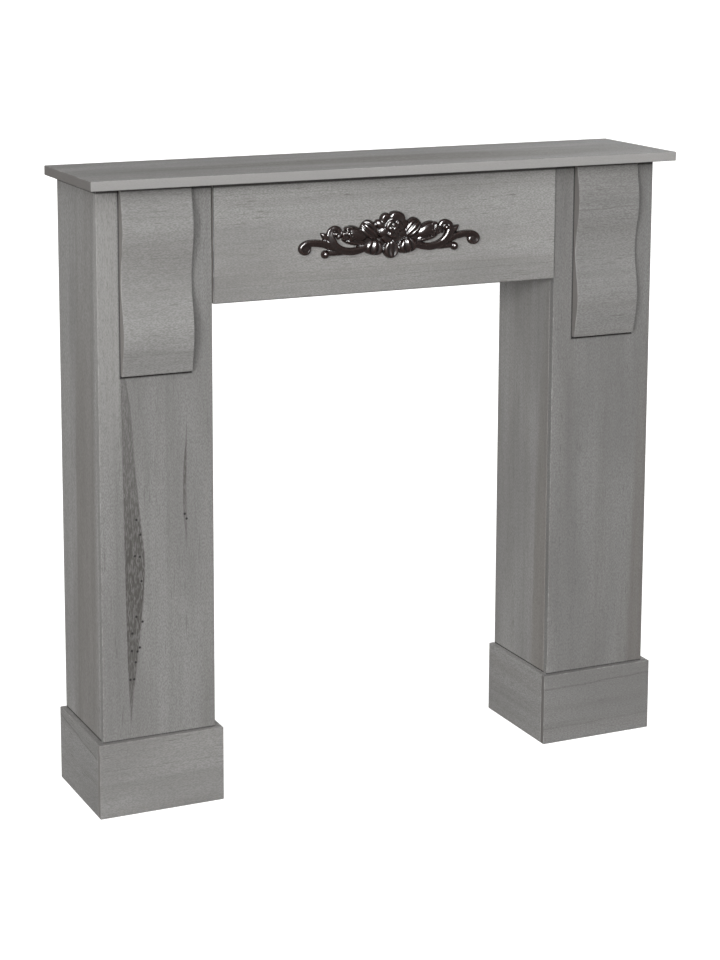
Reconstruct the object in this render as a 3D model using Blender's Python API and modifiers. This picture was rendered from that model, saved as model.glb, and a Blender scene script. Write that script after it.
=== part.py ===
"""A freestanding timber mantelpiece with wavy corbels and a moulded rose ornament.

Metres, +Z up. The floor is at Z 0, the front faces -Y and the wall stands at +Y.
The origin lies on the floor, under the middle of the whole outline.
"""
import math

import bmesh
import bpy
from mathutils import Matrix, Vector

# The whole piece
HEIGHT = 1.000
HEARTH_WIDTH = 0.600
JOINT_GAP = 0.0003
EDGE_EASE = 0.0010
EDGE_SEGMENTS = 1

# The shelf
SHELF_THICKNESS = 0.015
SHELF_SIDE_OVERHANG = 0.020
SHELF_FRONT_OVERHANG = 0.039

# The columns are boxes of three boards, open towards the wall
COLUMN_WIDTH = 0.185
COLUMN_DEPTH = 0.187
COLUMN_BOARD = 0.012

# The plinths wrap the front and both sides of each column's foot
PLINTH_HEIGHT = 0.120
PLINTH_BOARD = 0.010

# The frieze stands a little proud of the columns
FRIEZE_HEIGHT = 0.188
FRIEZE_BOARD = 0.015
FRIEZE_PROUD = 0.003

# The corbels: boards with a wave sawn down their face
CORBEL_WIDTH = 0.114
CORBEL_HEIGHT = 0.288
CORBEL_BOARD = 0.0175
CORBEL_WAVE_DEPTH = 0.0105
CORBEL_WAVE_LENGTH = 0.160
CORBEL_STEPS = 28

# The ornament, and the width of the pattern that its motifs are drawn on
ORNAMENT_WIDTH = 0.317
ORNAMENT_BELOW_SHELF = 0.098
PATTERN_WIDTH = 317.0
ORNAMENT_GRAIN = 1.15
ORNAMENT_KEPT_FACES = 0.125

# Places that follow from the sizes above
SHELF_UNDERSIDE = HEIGHT - SHELF_THICKNESS
UNDER_SHELF = SHELF_UNDERSIDE - JOINT_GAP
SHELF_DEPTH = COLUMN_DEPTH + SHELF_FRONT_OVERHANG
WALL_Y = SHELF_DEPTH / 2
COLUMN_FACE_Y = WALL_Y - COLUMN_DEPTH
FRIEZE_FACE_Y = COLUMN_FACE_Y - FRIEZE_PROUD
SHELF_HALF_WIDTH = HEARTH_WIDTH / 2 + COLUMN_WIDTH + SHELF_SIDE_OVERHANG
COLUMN_CENTRE_X = (HEARTH_WIDTH + COLUMN_WIDTH) / 2
ORNAMENT_SCALE = ORNAMENT_WIDTH / PATTERN_WIDTH
ORNAMENT_CENTRE_Z = SHELF_UNDERSIDE - ORNAMENT_BELOW_SHELF

# Motifs of the ornament's right half, in pattern units: across, up from its centre.
# A leaf: root, tip, width, rise, ribs, lean of its widest place to the tip (-1 to 1), point, hollow.
LEAVES = {
    "lower_shell": ((27, -5), (32, -30.5), 36, 9.5, 5, 0.25, 0.0, 0.0),
    "upper_shell": ((22, -4), (50, 21), 26, 11.5, 4, 0.30, 0.0, 0.0),
    "bud_back_leaf": ((44, -6), (73, 17), 20, 9.0, 2, 0.25, 0.1, 0.0),
    "bud_lower_leaf": ((42, -11), (85, -1.5), 14, 8.5, 2, 0.20, 0.1, 0.0),
    "scroll_leaf": ((103, -4), (121.5, 9.8), 13, 7.0, 1, -0.10, 0.6, 0.0),
    "stem_leaf": ((32, -12), (64, -21), 13, 8.0, 1, 0.0, 0.5, 0.0),
}
# The leaf that hangs on the middle line, under the rose
PENDANT_LEAF = ((0, -8), (0, -37.5), 28, 10.0, 3, 0.10, 0.15, 0.0)

# A stem: the points of its path and its radius at each
STEMS = {
    "c_scroll": (((96, 15.5), 3.6), ((103, 13), 4.6), ((105, 5), 6.2), ((102, -4), 7.2), ((96, -12), 6.9),
                 ((87, -18), 6.4), ((76, -21.3), 6.2), ((62, -21.7), 6.0), ((48, -18), 6.0), ((34, -12), 5.5)),
    "volute": (((103.5, 13), 4.2), ((96, 15.5), 4.4), ((89.3, 11.5), 4.4), ((88.8, 4.5), 4.0), ((94, 0.8), 3.4)),
    "outer_arm": (((86, -22), 4.0), ((99, -16), 5.4), ((111, -9.5), 6.2), ((123, -6.5), 6.2),
                  ((136, -6), 6.2), ((146, -7.5), 6.0)),
    "lower_arm": (((66, -22), 4.0), ((84, -22.6), 5.0), ((98, -22.3), 5.4), ((110, -22.5), 4.8)),
}
# A ball: its centre, radius and rise
BALLS = {
    "arm_end": ((147, -13.2), 11.8, 10.0),
    "lower_end": ((113, -24.5), 6.8, 7.5),
    "volute_eye": ((96.5, 7.5), 5.8, 9.5),
    "leaf_bed": ((42, -6), 19.0, 5.5),
}
ROSE_BED = ((0, 0), 22.0, 5.0)

# Flowers: petal rings as count, first angle, inner radius, outer radius, width and rise, and the heart
ROSE_CENTRE = (0, 11)
ROSE_RINGS = (
    (6, 2.0, 4.0, 27.5, 25.0, 10.5),
    (5, 30.0, 1.5, 18.0, 18.0, 13.5),
    (3, 75.0, 0.0, 10.0, 11.0, 15.6),
)
ROSE_HEART = (3.2, 16.5)
BUD_CENTRE = (73, 4)
BUD_RINGS = (
    (4, 40.0, 1.0, 12.5, 15.0, 10.5),
    (3, 100.0, 0.0, 7.5, 8.5, 13.0),
)
BUD_HEART = (2.6, 13.8)

# How the motifs are rounded: a leaf's face is (1 - r^power)^0.5 high at r of the way to its edge
RIB_DEPTH = 0.34
LEAF_POWER = 2.6
PETAL_POWER = 7.0
PETAL_HOLLOW = 0.42
BACK_SINK = 3.0
TUBE_LIFT = 1.0
SPHERE_SEGMENTS = 48
SPHERE_RINGS = 24

# Colours as linear red, green and blue, with roughness
FINISHES = {
    "grey_wood_upright": ((0.270, 0.264, 0.255), 0.62),
    "grey_wood_level": ((0.290, 0.284, 0.276), 0.62),
    "dark_resin": ((0.035, 0.028, 0.026), 0.22),
}


def clear_scene():
    """Remove every object, so that the script starts from nothing."""
    for thing in list(bpy.data.objects):
        bpy.data.objects.remove(thing, do_unlink=True)


def new_collection(name):
    """Add a collection to the scene."""
    group = bpy.data.collections.new(name)
    bpy.context.scene.collection.children.link(group)
    return group


def material(node_name, finish):
    """Make a node's own material from one of the finishes."""
    colour, roughness = FINISHES[finish]
    made = bpy.data.materials.new(f"{node_name}_{finish}")
    made.use_nodes = True
    shader = made.node_tree.nodes["Principled BSDF"]
    shader.inputs["Base Color"].default_value = (*colour, 1.0)
    shader.inputs["Roughness"].default_value = roughness
    shader.inputs["Metallic"].default_value = 0.0
    return made


def place(name, mesh, finish, group, location, parent=None):
    """Make a named object of a mesh, with its material, at its place."""
    thing = bpy.data.objects.new(name, mesh)
    mesh.materials.append(material(name, finish))
    group.objects.link(thing)
    thing.location = location
    thing.parent = parent
    return thing


def ease_edges(thing):
    """Round a board's sharp edges a little, as sanding does."""
    bevel = thing.modifiers.new("eased_edges", "BEVEL")
    bevel.width = EDGE_EASE
    bevel.segments = EDGE_SEGMENTS
    bevel.limit_method = "ANGLE"
    bevel.angle_limit = math.radians(30)


def board(name, low, high, finish, group, parent=None):
    """Make a board between two corners, given in its parent's frame."""
    low, high = Vector(low), Vector(high)
    mesh = bpy.data.meshes.new(name)
    shape = bmesh.new()
    bmesh.ops.create_cube(shape, size=1.0, matrix=Matrix.Diagonal((*(high - low), 1.0)))
    shape.to_mesh(mesh)
    shape.free()
    thing = place(name, mesh, finish, group, (low + high) / 2, parent)
    ease_edges(thing)
    return thing


def build_shelf(group):
    """The shelf lies on the columns and the frieze, flush with the wall."""
    board("mantel_shelf", (-SHELF_HALF_WIDTH, -WALL_Y, SHELF_UNDERSIDE),
          (SHELF_HALF_WIDTH, WALL_Y, HEIGHT), "grey_wood_level", group)


def build_frieze(group):
    """The frieze board fills the span between the columns, under the shelf."""
    half = HEARTH_WIDTH / 2 - JOINT_GAP
    board("frieze_board", (-half, FRIEZE_FACE_Y, SHELF_UNDERSIDE - FRIEZE_HEIGHT),
          (half, FRIEZE_FACE_Y + FRIEZE_BOARD, UNDER_SHELF), "grey_wood_level", group)


def build_column(side_name, leg, group):
    """Three boards: the face covers the front edges of the two sides."""
    half = COLUMN_WIDTH / 2
    side_front = COLUMN_FACE_Y + COLUMN_BOARD + JOINT_GAP
    board(f"{side_name}_column_front", (-half, COLUMN_FACE_Y, 0),
          (half, COLUMN_FACE_Y + COLUMN_BOARD, UNDER_SHELF), "grey_wood_upright", group, leg)
    outward = 1 if side_name == "right" else -1
    for place_name, way in (("outer", outward), ("inner", -outward)):
        edges = sorted((way * half, way * (half - COLUMN_BOARD)))
        board(f"{side_name}_column_{place_name}_side", (edges[0], side_front, 0),
              (edges[1], WALL_Y, UNDER_SHELF), "grey_wood_upright", group, leg)


def build_plinth(side_name, leg, group):
    """Three low boards round the column's foot: the front one covers the ends of the others."""
    near = COLUMN_WIDTH / 2 + JOINT_GAP
    far = near + PLINTH_BOARD
    front_back = COLUMN_FACE_Y - JOINT_GAP
    board(f"{side_name}_plinth_front", (-far, front_back - PLINTH_BOARD, 0),
          (far, front_back, PLINTH_HEIGHT), "grey_wood_level", group, leg)
    outward = 1 if side_name == "right" else -1
    for place_name, way in (("outer", outward), ("inner", -outward)):
        edges = sorted((way * near, way * far))
        board(f"{side_name}_plinth_{place_name}_side", (edges[0], COLUMN_FACE_Y, 0),
              (edges[1], WALL_Y, PLINTH_HEIGHT), "grey_wood_level", group, leg)


def corbel_thickness(drop):
    """How thick the corbel is at a distance under its top: two crests and a waist midway."""
    from_waist = drop - CORBEL_HEIGHT / 2
    wave = 0.5 + 0.5 * math.cos(2 * math.pi * from_waist / CORBEL_WAVE_LENGTH)
    return CORBEL_BOARD - CORBEL_WAVE_DEPTH * wave


def welded_mesh(curve_thing, name):
    """Turn a filled curve into a closed mesh in world space, and remove the curve."""
    bpy.context.view_layer.update()
    graph = bpy.context.evaluated_depsgraph_get()
    mesh = bpy.data.meshes.new_from_object(curve_thing.evaluated_get(graph))
    mesh.name = name
    shape = bmesh.new()
    shape.from_mesh(mesh)
    shape.transform(curve_thing.matrix_world)
    bmesh.ops.remove_doubles(shape, verts=shape.verts, dist=0.00001)
    bmesh.ops.recalc_face_normals(shape, faces=shape.faces)
    shape.to_mesh(mesh)
    shape.free()
    bpy.data.objects.remove(curve_thing, do_unlink=True)
    return mesh


def build_corbel(side_name, leg, group):
    """The wavy board: its side view as a flat outline, extruded to its width."""
    drops = [CORBEL_HEIGHT * step / CORBEL_STEPS for step in range(CORBEL_STEPS + 1)]
    outline = [(-corbel_thickness(drop), -drop) for drop in drops]
    outline += [(0.0, -CORBEL_HEIGHT), (0.0, 0.0)]
    curve = bpy.data.curves.new(f"{side_name}_corbel_outline", "CURVE")
    curve.dimensions = "2D"
    curve.fill_mode = "BOTH"
    curve.extrude = CORBEL_WIDTH / 2
    spline = curve.splines.new("POLY")
    spline.points.add(len(outline) - 1)
    for point, (depth, height) in zip(spline.points, outline):
        point.co = (depth, height, 0, 1)
    spline.use_cyclic_u = True
    drawn = bpy.data.objects.new(curve.name, curve)
    group.objects.link(drawn)
    drawn.matrix_world = Matrix.Rotation(math.pi / 2, 4, "Z") @ Matrix.Rotation(math.pi / 2, 4, "X")
    mesh = welded_mesh(drawn, f"{side_name}_corbel")
    mesh.shade_smooth()
    mesh.set_sharp_from_angle(angle=math.radians(40))
    thing = place(f"{side_name}_corbel", mesh, "grey_wood_level", group,
                  (0, COLUMN_FACE_Y - JOINT_GAP, UNDER_SHELF), leg)
    ease_edges(thing)


def new_sphere(matrix=Matrix.Identity(4)):
    """Make the sphere that leaves, petals and balls are stretched from."""
    sphere = bmesh.new()
    bmesh.ops.create_uvsphere(sphere, u_segments=SPHERE_SEGMENTS, v_segments=SPHERE_RINGS, radius=1.0,
                              matrix=matrix)
    return sphere


def merge_motif(shape, motif):
    """Add a motif's faces to the ornament's."""
    mesh = bpy.data.meshes.new("motif")
    motif.to_mesh(mesh)
    motif.free()
    shape.from_mesh(mesh)
    bpy.data.meshes.remove(mesh)


def leaf_lift(across, along, edge, rise, ribs, hollow):
    """Height of a leaf's face: domed or cupped from its middle to its edge, grooved between its ribs."""
    power = PETAL_POWER if hollow else LEAF_POWER
    dome = math.sqrt(max(0.0, 1 - edge ** power)) * (1 - hollow * (1 - edge ** 2))
    if not ribs:
        return rise * dome
    crest = abs(math.cos(math.pi / 2 * (across * ribs + (ribs + 1) % 2)))
    return rise * dome * (1 - RIB_DEPTH * (1 - crest) * (0.4 + 0.6 * along))


def add_leaf(shape, root, tip, width, rise, ribs, lean, point, hollow, mirror=1):
    """Add a ribbed leaf or a cupped petal, made by stretching a sphere from root to tip."""
    root = Vector((mirror * root[0], root[1]))
    tip = Vector((mirror * tip[0], tip[1]))
    along_way = tip - root
    across_way = Vector((-along_way.y, along_way.x)).normalized()
    leaf = new_sphere()
    for vert in leaf.verts:
        ring = math.sqrt(max(0.0, 1 - vert.co.z ** 2))
        along = 0.5 + 0.5 * vert.co.z
        across = vert.co.x / ring if ring > 0 else 0.0
        half = width / 2 * (1 + lean * vert.co.z) * (1 - point * along ** 3)
        spot = root + along_way * along + across_way * vert.co.x * half
        lift = -BACK_SINK
        if vert.co.y > 0:
            edge = math.sqrt(max(0.0, 1 - vert.co.y ** 2))
            lift = leaf_lift(across, along, edge, rise, ribs, hollow)
        vert.co = (spot.x, -lift, spot.y)
    merge_motif(shape, leaf)


def add_ball(shape, centre, radius, rise, mirror=1):
    """Add a ball flattened to its rise."""
    matrix = Matrix.Translation((mirror * centre[0], 0, centre[1])) @ Matrix.Diagonal((radius, rise, radius, 1))
    merge_motif(shape, new_sphere(matrix))


def add_stem(shape, name, points, group, mirror=1):
    """Add a tapered round stem along a smooth path through its points."""
    curve = bpy.data.curves.new(name, "CURVE")
    curve.dimensions = "3D"
    curve.bevel_depth = 1.0
    curve.bevel_resolution = 4
    curve.resolution_u = 8
    curve.use_fill_caps = True
    spline = curve.splines.new("BEZIER")
    spline.bezier_points.add(len(points) - 1)
    for knot, ((across, up), radius) in zip(spline.bezier_points, points):
        knot.co = (mirror * across, -TUBE_LIFT, up)
        knot.radius = radius
        knot.handle_left_type = knot.handle_right_type = "AUTO"
    drawn = bpy.data.objects.new(name, curve)
    group.objects.link(drawn)
    mesh = welded_mesh(drawn, name)
    shape.from_mesh(mesh)
    bpy.data.meshes.remove(mesh)


def add_flower(shape, centre, rings, heart, mirror=1):
    """Add a rose or a bud: rings of cupped petals round a small heart, each ring higher."""
    for count, first, inner, outer, width, rise in rings:
        for step in range(count):
            turn = math.radians(first + 360 * step / count)
            way = Vector((math.cos(turn), math.sin(turn)))
            root, tip = (Vector(centre) + way * reach for reach in (inner, outer))
            add_leaf(shape, root, tip, width, rise, 0, 0.3, 0.0, PETAL_HOLLOW, mirror)
    add_ball(shape, centre, *heart, mirror)


def build_ornament(group, cutters):
    """One moulded piece: rose, leaves, buds and scrolls run together, flat at the back."""
    shape = bmesh.new()
    add_flower(shape, ROSE_CENTRE, ROSE_RINGS, ROSE_HEART)
    add_ball(shape, *ROSE_BED)
    add_leaf(shape, *PENDANT_LEAF)
    for mirror in (-1, 1):
        for sizes in LEAVES.values():
            add_leaf(shape, *sizes, mirror=mirror)
        for sizes in BALLS.values():
            add_ball(shape, *sizes, mirror=mirror)
        for name, points in STEMS.items():
            add_stem(shape, name, points, group, mirror)
        add_flower(shape, BUD_CENTRE, BUD_RINGS, BUD_HEART, mirror)
    for vert in shape.verts:
        vert.co.y = min(vert.co.y, BACK_SINK)
    shape.transform(Matrix.Scale(ORNAMENT_SCALE, 4))
    mesh = bpy.data.meshes.new("frieze_ornament")
    shape.to_mesh(mesh)
    shape.free()
    back = FRIEZE_FACE_Y - JOINT_GAP
    thing = place("frieze_ornament", mesh, "dark_resin", group, (0, back, ORNAMENT_CENTRE_Z))
    join = thing.modifiers.new("one_casting", "REMESH")
    join.mode = "VOXEL"
    join.voxel_size = ORNAMENT_GRAIN * ORNAMENT_SCALE
    join.use_smooth_shade = True
    fewer = thing.modifiers.new("fewer_faces", "DECIMATE")
    fewer.ratio = ORNAMENT_KEPT_FACES
    cut = thing.modifiers.new("flat_back", "BOOLEAN")
    cut.operation = "DIFFERENCE"
    cut.object = build_back_cutter(cutters, back)


def build_back_cutter(cutters, back):
    """A block behind the ornament, which cuts its back flat."""
    reach = ORNAMENT_WIDTH
    mesh = bpy.data.meshes.new("ornament_back_cutter")
    shape = bmesh.new()
    bmesh.ops.create_cube(shape, size=1.0, matrix=Matrix.Diagonal((1.2 * reach, reach / 4, reach, 1)))
    shape.to_mesh(mesh)
    shape.free()
    cutter = bpy.data.objects.new("ornament_back_cutter", mesh)
    cutters.objects.link(cutter)
    cutter.location = (0, back + reach / 8, ORNAMENT_CENTRE_Z)
    cutter.hide_render = True
    cutter.display_type = "WIRE"
    return cutter


def build_leg(side_name, way, group):
    """A column with its plinth and corbel, hung on an empty at the leg's foot."""
    leg = bpy.data.objects.new(f"{side_name}_leg", None)
    group.objects.link(leg)
    leg.location = (way * COLUMN_CENTRE_X, 0, 0)
    build_column(side_name, leg, group)
    build_plinth(side_name, leg, group)
    build_corbel(side_name, leg, group)


def main():
    """Build the whole mantelpiece."""
    clear_scene()
    group = new_collection("mantelpiece")
    cutters = new_collection("cutters")
    build_shelf(group)
    build_frieze(group)
    for side_name, way in (("left", -1), ("right", 1)):
        build_leg(side_name, way, group)
    build_ornament(group, cutters)


main()
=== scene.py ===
"""The looks of a timber mantelpiece: grey-stained boards, wavy corbels and a dark moulded rose.

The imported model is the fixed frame. Each board, corbel and the ornament is modelled again in its node's
place, with rounded edges and finer relief. Blender's metres, +Z up, the floor at Z 0, the front facing -Y.
Sizes and places given in the classes are in millimetres, unless they say otherwise.
"""

import logging
import math
import random
from dataclasses import dataclass
from enum import Enum

import bpy
from mathutils import Euler, Matrix, Vector

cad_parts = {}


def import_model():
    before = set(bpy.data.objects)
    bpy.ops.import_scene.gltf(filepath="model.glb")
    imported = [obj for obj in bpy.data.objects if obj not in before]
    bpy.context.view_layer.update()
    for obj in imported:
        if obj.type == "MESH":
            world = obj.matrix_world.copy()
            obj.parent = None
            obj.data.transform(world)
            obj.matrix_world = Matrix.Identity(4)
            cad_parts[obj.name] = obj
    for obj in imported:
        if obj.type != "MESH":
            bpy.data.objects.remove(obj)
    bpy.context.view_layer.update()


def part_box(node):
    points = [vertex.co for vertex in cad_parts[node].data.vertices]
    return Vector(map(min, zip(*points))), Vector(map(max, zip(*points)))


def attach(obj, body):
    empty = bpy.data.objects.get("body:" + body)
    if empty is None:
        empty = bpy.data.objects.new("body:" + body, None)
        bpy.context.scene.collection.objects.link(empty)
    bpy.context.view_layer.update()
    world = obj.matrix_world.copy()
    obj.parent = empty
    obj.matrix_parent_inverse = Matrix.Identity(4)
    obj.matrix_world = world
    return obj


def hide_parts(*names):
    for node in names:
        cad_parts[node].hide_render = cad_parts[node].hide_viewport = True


LOG = logging.getLogger("mantelpiece")
BODY = "root"
WEAR = "edge_wear"
MM = 0.001
# The gap that shows at a joint, and a place past every board, for a mark or painted shade that doesn't end on
# it.
JOINT_PLAY = 0.6
BEYOND = 600.0

Tree = bpy.types.NodeTree
Socket = bpy.types.NodeSocket
Colour = tuple[float, float, float, float]
Spot = tuple[float, float]
Line = tuple[Spot, ...]
Triple = tuple[float, float, float]
Inputs = dict[int | str, Socket | Vector | float | tuple[float, ...]]


class Grain(Enum):
    """The way a board's grain runs, as the turn that lays it along the pattern's X axis."""

    ALONG_X = (0.0, 0.0, 0.0)
    ALONG_Y = (0.0, 0.0, -math.pi / 2)
    ALONG_Z = (0.0, math.pi / 2, 0.0)


class Slot(Enum):
    """The record's material slots."""

    LEVEL_WOOD = "level_grain_wood"
    UPRIGHT_WOOD = "upright_grain_wood"
    RESIN = "dark_moulded_resin"


def linear(hex_colour: str, tone: float = 1.0) -> Colour:
    """Turn an sRGB hex colour into linear red, green, blue and an alpha of one.

    Args:
        hex_colour: Such as "#92918E".
        tone: How much lighter or darker than that the colour is, as a factor of its light.

    Returns:
        The colour as a shader socket takes it.
    """
    parts = [int(hex_colour[at:at + 2], 16) / 255 for at in (1, 3, 5)]
    red, green, blue = (p / 12.92 if p <= 0.04045 else ((p + 0.055) / 1.055) ** 2.4 for p in parts)
    return red * tone, green * tone, blue * tone, 1.0


def add_node(tree: Tree, kind: str, inputs: Inputs | None = None, output: int | str = 0,
             **settings: str) -> Socket:
    """Add a node with its settings, and fill or link its inputs.

    Args:
        tree: The node tree of the material or the world.
        kind: The node's type.
        inputs: A value, or the socket of another node, for an input's name or number.
        output: The name or number of the output that is used.
        settings: Properties of the node itself, such as operation.

    Returns:
        That output of the new node.
    """
    node = tree.nodes.new(kind)
    for name, value in settings.items():
        setattr(node, name, value)
    for socket, value in (inputs or {}).items():
        if isinstance(value, Socket):
            tree.links.new(value, node.inputs[socket])
        else:
            node.inputs[socket].default_value = value
    return node.outputs[output]


def new_material(name: str) -> tuple[bpy.types.Material, Tree, bpy.types.Node]:
    """Make a material that uses nodes.

    Args:
        name: The material's name.

    Returns:
        The material, its node tree and its Principled shader.
    """
    made = bpy.data.materials.new(name)
    made.use_nodes = True
    return made, made.node_tree, made.node_tree.nodes["Principled BSDF"]


@dataclass(frozen=True)
class Fibres:
    """Cloudy streaks along a board's grain, each one about as long and as wide as it says.

    They come from noise that lies mostly near 0.5. A streak begins to show where the noise passes start,
    and has its whole strength where it reaches full.
    """

    length: float
    width: float
    start: float
    full: float
    strength: float = 1.0
    least: float = 0.0
    detail: float = 1.0

    def mask(self, tree: Tree, lengthwise: Socket) -> Socket:
        """Draw the streaks.

        Args:
            tree: The material's node tree.
            lengthwise: The place in the trunk, in metres, with the grain along X.

        Returns:
            A value from least to strength.
        """
        stretch = (1 / (self.length * MM), 1 / (self.width * MM), 1 / (self.width * MM))
        stretched = add_node(tree, "ShaderNodeMapping", {"Vector": lengthwise, "Scale": stretch})
        texture = {"Vector": stretched, "Scale": 1.0, "Detail": self.detail}
        noise = add_node(tree, "ShaderNodeTexNoise", texture)
        return add_node(tree, "ShaderNodeMapRange",
                        {"Value": noise, "From Min": self.start, "From Max": self.full,
                         "To Min": self.least, "To Max": self.strength},
                        interpolation_type="SMOOTHSTEP")


@dataclass(frozen=True)
class MineralStreak:
    """A darker or paler vein along a board's face, between two wandering edges.

    Its edges are points of place along the board and across it, and its strength is points of place along
    the board and share. Each edge fades in over its blur.
    """

    left: Line
    right: Line
    strength: Line
    left_blur: float = 1.5
    right_blur: float = 5.0
    across: str = "X"
    along: str = "Z"
    flecked: bool = True
    colour: str = "#524E4A"
    spare: float = 1.0

    def _curve(self, tree: Tree, along: Socket, points: Line, low: float, high: float) -> Socket:
        """Draw a value that changes along the board.

        Args:
            tree: The material's node tree.
            along: The place along the board, in metres.
            points: Place along the board and value, from the lowest up.
            low: The least value that a point takes.
            high: The greatest value that a point takes.

        Returns:
            The value at this place.
        """
        bottom, top = points[0][0], points[-1][0]
        share = add_node(tree, "ShaderNodeMapRange",
                         {"Value": along, "From Min": bottom * MM, "From Max": top * MM})
        place = add_node(tree, "ShaderNodeFloatCurve", {"Value": share})
        mapping = place.node.mapping
        curve = mapping.curves[0]
        spots = [((up - bottom) / (top - bottom), (value - low) / (high - low)) for up, value in points]
        curve.points[0].location, curve.points[-1].location = spots[0], spots[-1]
        for spot in spots[1:-1]:
            curve.points.new(*spot)
        mapping.update()
        return add_node(tree, "ShaderNodeMath", {0: place, 1: high - low, 2: low}, operation="MULTIPLY_ADD")

    def mask(self, tree: Tree, spot: Socket) -> Socket:
        """Give how much of the vein's colour shows.

        Args:
            tree: The material's node tree.
            spot: The place in the room, in metres.

        Returns:
            A value from 0 to 1.
        """
        axes = add_node(tree, "ShaderNodeSeparateXYZ", {0: spot}).node.outputs
        along = axes[self.along]
        places = [place for edge in (self.left, self.right) for _, place in edge]
        low, high = min(places) - self.spare, max(places) + self.spare
        inside = self._curve(tree, along, self.strength, 0.0, 1.0)
        for edge, blur in ((self.left, self.left_blur), (self.right, -self.right_blur)):
            place = self._curve(tree, along, edge, low, high)
            start = add_node(tree, "ShaderNodeMath", {0: place, 1: MM}, operation="MULTIPLY")
            end = add_node(tree, "ShaderNodeMath", {0: start, 1: blur * MM}, operation="ADD")
            side = add_node(tree, "ShaderNodeMapRange",
                            {"Value": axes[self.across], "From Min": start, "From Max": end},
                            interpolation_type="SMOOTHSTEP")
            inside = add_node(tree, "ShaderNodeMath", {0: inside, 1: side}, operation="MULTIPLY")
        return inside


@dataclass(frozen=True)
class PinHoles:
    """Small dark holes in the front of an upright board, at places across and up.

    Real ones are 1 mm to 2 mm wide. They are drawn wider, with soft rims round a dark core, so that they
    show.
    """

    places: Line
    radius: float = 2.6
    core: float = 1.3
    flecked: bool = False
    colour: str = "#13100F"

    def mask(self, tree: Tree, spot: Socket) -> Socket:
        """Give how much the holes darken the board.

        Args:
            tree: The material's node tree.
            spot: The place in the room, in metres.

        Returns:
            A value from 0 to 1.
        """
        flat = add_node(tree, "ShaderNodeVectorMath", {0: spot, 1: (1, 0, 1)}, operation="MULTIPLY")
        inside = 0.0
        for across, up in self.places:
            away = add_node(tree, "ShaderNodeVectorMath", {0: flat, 1: (across * MM, 0, up * MM)},
                            operation="DISTANCE", output="Value")
            hole = add_node(tree, "ShaderNodeMapRange",
                            {"Value": away, "From Min": self.radius * MM, "From Max": self.core * MM},
                            interpolation_type="SMOOTHSTEP")
            inside = add_node(tree, "ShaderNodeMath", {0: inside, 1: hole}, operation="MAXIMUM")
        return inside


@dataclass(frozen=True)
class GrainLineAndShadeBand:
    """One dark line of late wood across a board whose grain is level. A wide one without flecks is a band of
    painted shade.

    Its height is the one at the middle of the board, its slope is in millimetres a metre, and its bends
    are so many a metre and reach as far as its wander.
    """

    height: float
    slope: float
    along: str
    middle: float
    wander: float = 6.0
    width: float = 2.2
    strength: float = 0.5
    flecked: bool = True
    colour: str = "#5C5955"
    bends: float = 18.0
    bend_detail: float = 3.0

    def mask(self, tree: Tree, spot: Socket) -> Socket:
        """Give how much the line darkens the board.

        Args:
            tree: The material's node tree.
            spot: The place in the room, in metres.

        Returns:
            A value from 0 to its strength.
        """
        axes = add_node(tree, "ShaderNodeSeparateXYZ", {0: spot}).node.outputs
        run = add_node(tree, "ShaderNodeMath", {0: axes[self.along], 1: self.middle * MM},
                       operation="SUBTRACT")
        rise = add_node(tree, "ShaderNodeMath", {0: run, 1: self.slope * MM, 2: self.height * MM},
                        operation="MULTIPLY_ADD")
        waves = add_node(tree, "ShaderNodeTexNoise",
                         {"W": run, "Scale": self.bends, "Detail": self.bend_detail}, noise_dimensions="1D")
        bent = add_node(tree, "ShaderNodeMath", {0: waves, 1: self.wander * MM, 2: rise},
                        operation="MULTIPLY_ADD")
        away = add_node(tree, "ShaderNodeMath", {0: axes["Z"], 1: bent}, operation="SUBTRACT")
        gap = add_node(tree, "ShaderNodeMath", {0: away}, operation="ABSOLUTE")
        return add_node(tree, "ShaderNodeMapRange",
                        {"Value": gap, "From Min": self.width * MM, "From Max": 0.0, "To Max": self.strength},
                        interpolation_type="SMOOTHSTEP")


@dataclass(frozen=True)
class PaintedJointShade:
    """Painted shade along the joint round a part that meets a board, and painted shadow below a shelf or
    corbel.

    The part's sides, foot and top are places across and up, and its back is a place in depth. The painted
    shade covers what lies inside them and in front of its back, and fades out over its width.
    """

    left: float
    right: float
    foot: float
    top: float
    back: float = BEYOND
    width: float = 1.6
    strength: float = 0.85
    flecked: bool = False
    colour: str = "#211E1D"

    def mask(self, tree: Tree, spot: Socket) -> Socket:
        """Give how much the painted shade darkens the board.

        Args:
            tree: The material's node tree.
            spot: The place in the room, in metres.

        Returns:
            A value from 0 to its strength.
        """
        axes = add_node(tree, "ShaderNodeSeparateXYZ", {0: spot}).node.outputs
        gap = add_node(tree, "ShaderNodeMath", {0: axes["Y"], 1: self.back * MM}, operation="SUBTRACT")
        for axis, low, high in (("X", self.left, self.right), ("Z", self.foot, self.top)):
            past = axes[axis]
            for operation, amount in (("SUBTRACT", (low + high) / 2), ("ABSOLUTE", 0.0),
                                      ("SUBTRACT", (high - low) / 2)):
                past = add_node(tree, "ShaderNodeMath", {0: past, 1: amount * MM}, operation=operation)
            gap = add_node(tree, "ShaderNodeMath", {0: gap, 1: past}, operation="MAXIMUM")
        return add_node(tree, "ShaderNodeMapRange",
                        {"Value": gap, "From Min": self.width * MM, "From Max": 0.0, "To Max": self.strength},
                        interpolation_type="SMOOTHSTEP")


Mark = MineralStreak | PinHoles | GrainLineAndShadeBand | PaintedJointShade


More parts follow.
